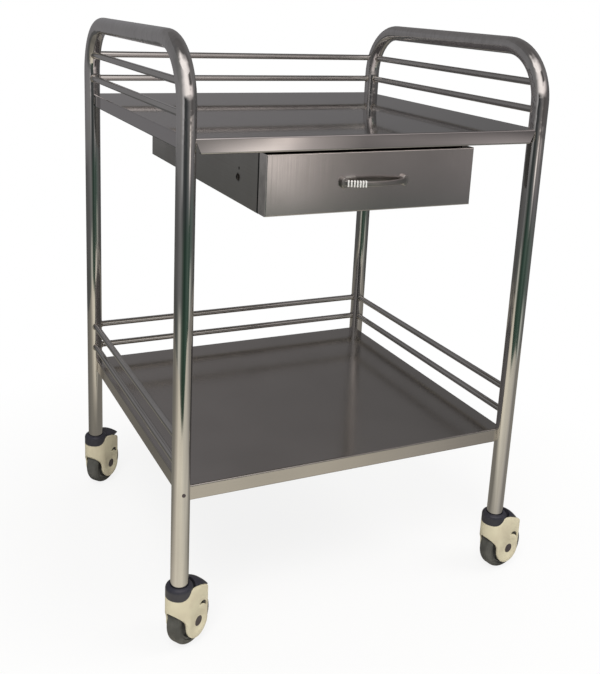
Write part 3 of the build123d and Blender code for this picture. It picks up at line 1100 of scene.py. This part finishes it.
# --- Casters ---
@dataclass
class Caster:
    """One hooded swivel caster with its brake pedal."""

    shop: Paintshop
    corner: str
    rim_radius: float = 0.0009
    rim_angle: float = 48.0

    def hood(self) -> None:
        """The hood, its moulded edges rounded so that they catch the light."""
        node = f"caster_housing_{self.corner}"
        hood = copy_of_node(node, f"hood_{self.corner}")
        finish_with(
            hood, "BEVEL", width=self.rim_radius, segments=2, limit_method="ANGLE",
            angle_limit=radians(self.rim_angle), use_clamp_overlap=True,
        )
        smooth(hood)
        self.shop.place(hood, HOOD, f"caster_{self.corner}")
        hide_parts(node)

    def build(self) -> None:
        """Dress the caster's pieces."""
        self.hood()
        finishes = {
            "caster_collar": COLLAR,
            "brake_pedal": COLLAR,
            "axle_caps": CAP,
            "caster_axle": PLATED,
            "wheel_hub": HUB,
            "tyre": TREAD,
        }
        for piece, finish in finishes.items():
            self.shop.paint(f"{piece}_{self.corner}", finish)


# --- Studio ---
@dataclass
class Camera:
    """The camera, by where it looks and how far off it stands."""

    target: tuple[float, float, float] = (-0.0228, 0.0, 0.5056)
    distance: float = 1.4721
    azimuth: float = -25.0
    elevation: float = 14.7
    roll: float = 2.43
    lens: float = 49.85
    shift: tuple[float, float] = (0.0297, -0.1439)

    def build(self) -> None:
        """Create the camera and make it the scene's."""
        turn, tilt, roll = (radians(v) for v in (self.azimuth, self.elevation, self.roll))
        back = Vector((sin(turn) * cos(tilt), -cos(turn) * cos(tilt), sin(tilt)))
        right = (-back).cross(Vector((0.0, 0.0, 1.0))).normalized()
        up = right.cross(-back)
        right, up = right * cos(roll) + up * sin(roll), up * cos(roll) - right * sin(roll)
        data = bpy.data.cameras.new("camera")
        data.lens = self.lens
        data.shift_x, data.shift_y = self.shift
        camera = bpy.data.objects.new("camera", data)
        bpy.context.scene.collection.objects.link(camera)
        turned = Matrix((right, up, back)).transposed().to_4x4()
        camera.matrix_world = Matrix.Translation(Vector(self.target) + back * self.distance) @ turned
        bpy.context.scene.camera = camera


def turn_share(degrees: float) -> float:
    """A direction as a share of the way round, from 0 at -180 degrees to 1 at 180."""
    return (degrees + 180.0) / 360.0


@dataclass(frozen=True)
class Band:
    """One height of a board: where it starts and is full, and its colours by direction."""

    start: float
    full: float
    turns: dict[float, Colour]

    def colours(self, sheet: Sheet, turn: Socket) -> Socket:
        """The colours round the set, closed at 180 degrees.

        Args:
            sheet: the board's node tree.
            turn: the direction output, from 0 to 1.

        Returns:
            The colour output.
        """
        stops = [(turn_share(degrees), colour) for degrees, colour in self.turns.items()]
        return sheet.ramp(turn, [*stops, (1.0, stops[0][1])])


# Directions are in degrees: -180 is the cart's left, -90 its front, 0 its right and 90 its rear.
HIGH_LEFT = {
    -180: (0.22, 0.22, 0.22), -155: (0.3, 0.295, 0.29), -138: (0.85, 0.81, 0.79),
}
REAR_RIGHT = {
    15: (0.12, 0.12, 0.12), 75: (0.2, 0.193, 0.195), 120: (0.24, 0.235, 0.24),
}
FOOT = Band(0.0, 0.0, {
    -180: (0.12, 0.13, 0.12), -166: (0.24, 0.24, 0.21), -153: (0.75, 0.74, 0.66),
    -142: (0.55, 0.55, 0.48), -132: (0.1, 0.13, 0.1), -118: (0.035, 0.065, 0.045),
    -100: (0.055, 0.1, 0.075), -84: (0.08, 0.13, 0.1), -66: (0.045, 0.08, 0.06),
    -58: (0.3, 0.33, 0.28), -49: (0.72, 0.74, 0.66), -40: (0.3, 0.31, 0.28),
    -20: (0.17, 0.17, 0.16), 10: (0.1, 0.1, 0.095), 90: (0.13, 0.13, 0.12),
    150: (0.11, 0.11, 0.105),
})
WAIST = Band(0.11, 0.18, {
    -180: (0.15, 0.15, 0.15), -156: (0.22, 0.22, 0.215), -142: (0.2, 0.21, 0.2),
    -129: (0.075, 0.095, 0.08), -116: (0.025, 0.055, 0.038), -100: (0.06, 0.1, 0.08),
    -86: (0.1, 0.15, 0.12), -70: (0.055, 0.09, 0.07), -50: (0.13, 0.17, 0.15),
    -20: (0.15, 0.16, 0.15), 15: (0.1, 0.1, 0.1), 100: (0.11, 0.11, 0.11),
    150: (0.14, 0.14, 0.135),
})
CHEST = Band(0.3, 0.4, {
    -180: (0.18, 0.18, 0.18), -157: (0.27, 0.27, 0.265), -145: (0.18, 0.18, 0.18),
    -131: (0.07, 0.078, 0.077), -115: (0.04, 0.048, 0.048), -101: (0.09, 0.105, 0.105),
    -88: (0.18, 0.19, 0.19), -80: (0.42, 0.41, 0.4), -76: (0.66, 0.62, 0.6),
    -71: (0.32, 0.3, 0.3), -65: (0.13, 0.125, 0.125), -50: (0.2, 0.19, 0.2),
    -20: (0.16, 0.16, 0.16), 15: (0.1, 0.1, 0.1), 75: (0.16, 0.155, 0.155),
    105: (0.125, 0.125, 0.12), 150: (0.14, 0.14, 0.14),
})
PANE = Band(0.4, 0.47, {
    -180: (0.25, 0.25, 0.25), -157: (0.28, 0.28, 0.275), -148: (0.4, 0.4, 0.395),
    -140: (0.38, 0.38, 0.376), -134.5: (0.09, 0.094, 0.094), -129: (0.055, 0.062, 0.062),
    -115: (0.045, 0.053, 0.053), -98: (0.12, 0.125, 0.12), -89: (0.22, 0.217, 0.21),
    -84: (0.5, 0.475, 0.455), -80.5: (1.1, 1.02, 0.96), -76.5: (1.7, 1.58, 1.47),
    -73: (0.75, 0.69, 0.66), -66: (0.22, 0.21, 0.205), -50: (0.28, 0.265, 0.265),
    -30: (0.18, 0.175, 0.175),
    **REAR_RIGHT,
})
WINDOW = Band(0.5, 0.54, {
    -180: (0.28, 0.275, 0.28), -157: (0.28, 0.275, 0.27), -148: (0.4, 0.395, 0.395),
    -140: (0.4, 0.395, 0.395), -134.5: (0.1, 0.1, 0.1), -115: (0.05, 0.058, 0.058),
    -98: (0.16, 0.16, 0.155), -85: (0.3, 0.286, 0.266), -80: (0.42, 0.39, 0.366),
    -77.2: (0.72, 0.66, 0.61), -75: (1.4, 1.27, 1.165), -71.5: (0.62, 0.57, 0.537),
    -66: (0.3, 0.28, 0.27), -57: (0.4, 0.37, 0.36), -50: (0.66, 0.61, 0.59),
    -42: (0.3, 0.28, 0.27), -30: (0.2, 0.195, 0.195),
    **REAR_RIGHT,
})
BROW = Band(0.548, 0.585, {
    -180: (0.28, 0.275, 0.28), -156: (0.3, 0.295, 0.29), -148: (0.52, 0.51, 0.51),
    -139.5: (0.55, 0.54, 0.54), -134: (0.09, 0.092, 0.092), -128: (0.05, 0.055, 0.055),
    -115: (0.06, 0.065, 0.067), -100: (0.16, 0.16, 0.16), -85: (0.24, 0.23, 0.225),
    -76: (0.22, 0.207, 0.203), -66: (0.12, 0.113, 0.11), -50: (0.15, 0.142, 0.14),
    -30: (0.15, 0.145, 0.145),
    **REAR_RIGHT,
})
HEAD = Band(0.9, 1.08, {
    **HIGH_LEFT,
    -120: (1.3, 1.23, 1.18), -95: (1.45, 1.36, 1.3), -65: (1.35, 1.24, 1.2),
    -48: (0.8, 0.73, 0.71), -28: (0.25, 0.24, 0.24), 30: (0.19, 0.183, 0.183),
    70: (0.2, 0.193, 0.195), 90: (0.25, 0.245, 0.255), 120: (0.24, 0.236, 0.24),
    150: (0.24, 0.236, 0.24),
})
CROWN = Band(1.3, 1.42, {
    **HIGH_LEFT,
    -120: (1.4, 1.32, 1.27), -95: (1.5, 1.41, 1.36), -82: (1.2, 1.12, 1.08),
    -74: (0.35, 0.33, 0.32), -66: (0.12, 0.112, 0.11), -54: (0.14, 0.132, 0.13),
    -40: (0.3, 0.283, 0.28), -20: (0.22, 0.212, 0.21), 70: (0.2, 0.193, 0.195),
    150: (0.24, 0.236, 0.24),
})
NEAR_FLOOR = Band(0.0, 0.0, {
    -180: (0.32, 0.3, 0.25), -160: (0.62, 0.57, 0.47), -145: (0.94, 0.87, 0.71),
    -120: (0.93, 0.87, 0.71), -98: (0.8, 0.76, 0.64), -70: (0.7, 0.66, 0.56),
    -56: (0.55, 0.52, 0.46), -44: (0.3, 0.285, 0.255), -20: (0.32, 0.3, 0.26),
    30: (0.22, 0.205, 0.175), 90: (0.3, 0.28, 0.24), 140: (0.2, 0.19, 0.165),
})
CEILING = Band(0.0, 0.0, {
    -180: (0.16, 0.155, 0.155), -165: (0.3, 0.29, 0.28), -148: (1.5, 1.42, 1.37),
    -90: (1.5, 1.42, 1.37), -62: (1.1, 1.03, 1.0), -42: (0.6, 0.56, 0.55),
    -25: (0.16, 0.152, 0.15), 30: (0.19, 0.183, 0.183), 120: (0.18, 0.175, 0.175),
})


@dataclass
class Studio:
    """Pale floor, white world, soft lamps, and boards that only glossy surfaces see.

    Attributes:
        shadow_radius: how far from the middle the floor's shadow starts to fade, and ends.
        shadow_share: how much of the floor's own shade is left beside the cart.
        mat_fade: how far round the mat's edge it turns into the drape's foot.
        shade_radius: how far from the middle the shade under the cart starts to fade, and ends.
        near_turn: the direction in which the mat ends nearest, in degrees.
        near_radius: how far off it ends there, and elsewhere.
        near_spread: how far to each side the nearest edge reaches, and where it is past.
        ceiling_hole: how far from the middle the dark ceiling starts to brighten, and ends.
    """

    ambient: float = 0.6
    ambient_colour: Colour = (1.0, 0.99, 0.97)
    floor_radius: float = 6.0
    floor_colour: Colour = (0.68, 0.67, 0.65)
    shadow_radius: tuple[float, float] = (0.35, 0.8)
    shadow_share: float = 0.15
    board_radius: float = 1.32
    board_height: float = 2.0
    mat_height: float = 0.0005
    mat_fade: tuple[float, float] = (-0.03, 0.06)
    shade_radius: tuple[float, float] = (0.16, 0.46)
    shade_colour: Colour = (0.26, 0.245, 0.21)
    near_turn: float = -112.0
    near_radius: tuple[float, float] = (1.0, 1.34)
    near_spread: tuple[float, float] = (8.0, 34.0)
    bands: tuple[Band, ...] = (FOOT, WAIST, CHEST, PANE, WINDOW, BROW, HEAD, CROWN)
    ceiling_hole: tuple[float, float] = (0.35, 0.75)
    ceiling_dark: Colour = (0.16, 0.152, 0.15)
    lamp_target: tuple[float, float, float] = (0.0, 0.0, 0.4)

    def world(self) -> None:
        """A white world, softer for the light that it gives."""
        sheet = Sheet("studio_world", world=True)
        bpy.context.scene.world = sheet.owner
        colour = (*self.ambient_colour, 1.0)
        glow = sheet.node("Background", {"Strength": self.ambient, "Color": colour})
        white = sheet.node("Background", {"Color": WHITE})
        sheet.surface(sheet.mix(sheet.seen(), glow, white))

    def floor(self) -> None:
        """The pale floor, which keeps the cart's shadow and fades into the white world."""
        ground = disc("floor", self.floor_radius, 0.0)
        sheet = Sheet("floor_paint")
        away = sheet.node("VectorMath", {0: sheet.place()}, operation="LENGTH").outputs["Value"]
        near = sheet.spread(away, 1.0 - self.shadow_share, 1.0, *self.shadow_radius)
        lit = sheet.node("BsdfDiffuse", {"Color": (*self.floor_colour, 1.0)})
        white = sheet.node("Emission", {"Color": WHITE})
        factor = sheet.math("MULTIPLY", sheet.seen(), near)
        ground.data.materials.append(sheet.surface(sheet.mix(factor, lit, white)))

    @staticmethod
    def hang(board: Item, sheet: Sheet, shade: Socket) -> None:
        """Give a board its glow and let only glossy surfaces see it.

        Args:
            board: the board.
            sheet: its node tree.
            shade: the colour output that it glows with.
        """
        board.data.materials.append(sheet.surface(sheet.node("Emission", {"Color": shade})))
        for rays in ("camera", "diffuse", "shadow", "transmission", "volume_scatter"):
            setattr(board, f"visible_{rays}", False)

    def drape(self) -> None:
        """The drape round the set, in bands of height."""
        bpy.ops.mesh.primitive_cylinder_add(
            vertices=96,
            radius=self.board_radius,
            depth=self.board_height,
            end_fill_type="NOTHING",
            location=(0.0, 0.0, self.board_height / 2),
        )
        board = settle(active(), "grey_drape")
        sheet = Sheet("grey_drape_cloth")
        at = sheet.axes()
        turn = sheet.bearing(at)
        shade = self.bands[0].colours(sheet, turn)
        for band in self.bands[1:]:
            rise = sheet.fade(at["Z"], band.start, band.full)
            shade = sheet.blend(rise, shade, band.colours(sheet, turn))
        self.hang(board, sheet, shade)

    def mat(self) -> None:
        """The floor as steel sees it: warm by the cart, dim under it, the drape's foot beyond."""
        board = disc("warm_mat", self.board_radius, self.mat_height)
        sheet = Sheet("warm_mat_cloth")
        at = sheet.axes()
        turn = sheet.bearing(at)
        flat = sheet.distance(at)
        off = sheet.math("SUBTRACT", turn, turn_share(self.near_turn))
        aside = [degrees / 360.0 for degrees in self.near_spread]
        edge = sheet.spread(sheet.math("ABSOLUTE", off), *self.near_radius, *aside)
        beyond = sheet.fade(sheet.math("SUBTRACT", flat, edge), *self.mat_fade)
        inner = sheet.fade(flat, *self.shade_radius)
        near = sheet.blend(inner, self.shade_colour, NEAR_FLOOR.colours(sheet, turn))
        self.hang(board, sheet, sheet.blend(beyond, near, FOOT.colours(sheet, turn)))

    def overhead(self) -> None:
        """The ceiling as steel sees it: bright at the front left, dim elsewhere."""
        board = disc("studio_ceiling", self.board_radius, self.board_height)
        sheet = Sheet("ceiling_cloth")
        at = sheet.axes()
        out = sheet.fade(sheet.distance(at), *self.ceiling_hole)
        lit = CEILING.colours(sheet, sheet.bearing(at))
        self.hang(board, sheet, sheet.blend(out, self.ceiling_dark, lit))

    def lamp(self, name: str, place: Vector, size: float, power: float) -> None:
        """A square soft lamp that looks at the middle of the cart.

        Args:
            name: the lamp's name.
            place: where it hangs.
            size: its side, in metres.
            power: its power, in watts.
        """
        data = bpy.data.lights.new(name, "AREA")
        data.size = size
        data.energy = power
        lamp = bpy.data.objects.new(name, data)
        bpy.context.scene.collection.objects.link(lamp)
        lamp.location = place
        aim = Vector(self.lamp_target) - place
        lamp.rotation_euler = aim.to_track_quat("-Z", "Y").to_euler()
        lamp.visible_glossy = False

    def build(self) -> None:
        """Set up the world, floor, boards and lamps."""
        bpy.context.scene.view_settings.view_transform = "Standard"
        self.world()
        self.floor()
        self.drape()
        self.mat()
        self.overhead()
        self.lamp("key_lamp", Vector((-1.3, -1.9, 2.9)), size=1.4, power=85.0)
        self.lamp("fill_lamp", Vector((2.0, -1.2, 2.6)), size=1.6, power=45.0)


def main() -> None:
    """Build the cart's looks piece by piece, then the studio and the camera."""
    logging.basicConfig(level=logging.INFO, format="%(name)s: %(message)s")
    shop = Paintshop()
    SideFrames(shop).build()
    GuardRails(shop).build()
    Shelves(shop).build()
    DrawerUnit(shop).build()
    for corner in CORNERS:
        Caster(shop, corner).build()
    Studio().build()
    Camera().build()


if __name__ == "__main__":
    main()
